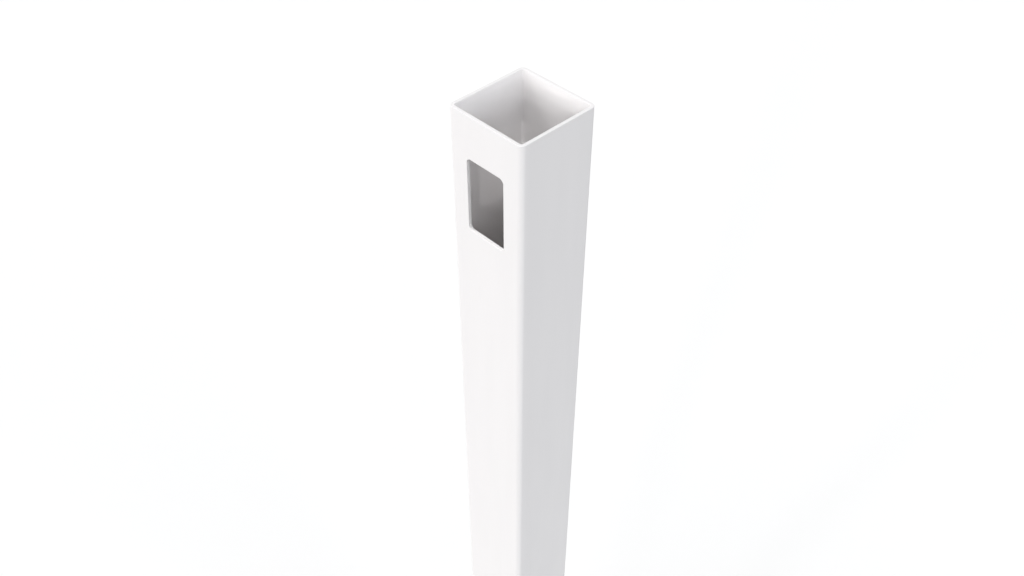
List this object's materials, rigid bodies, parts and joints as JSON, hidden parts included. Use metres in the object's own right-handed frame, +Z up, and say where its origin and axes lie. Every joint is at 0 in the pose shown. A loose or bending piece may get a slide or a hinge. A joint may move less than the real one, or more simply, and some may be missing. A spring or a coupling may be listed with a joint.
{
  "type": "pvc fence post",
  "caption": "Hollow square PVC fence post with rounded corners, sawn ends and rail mortises routed through one face.",
  "frame": {"origin": "middle of the lower sawn end", "axes": "+Z up the post, the routed face with the rail mortises looks along -Y, +X along the width of that face"},
  "size_m": [0.1016, 0.1016, 1.8288],
  "materials": {
    "post": "white rigid PVC as extruded, low gloss, with faint die lines along the length; sawn ends and routed edges are duller"
  },
  "bodies": {
    "root": {"post": "post"}
  },
  "joints": []
}
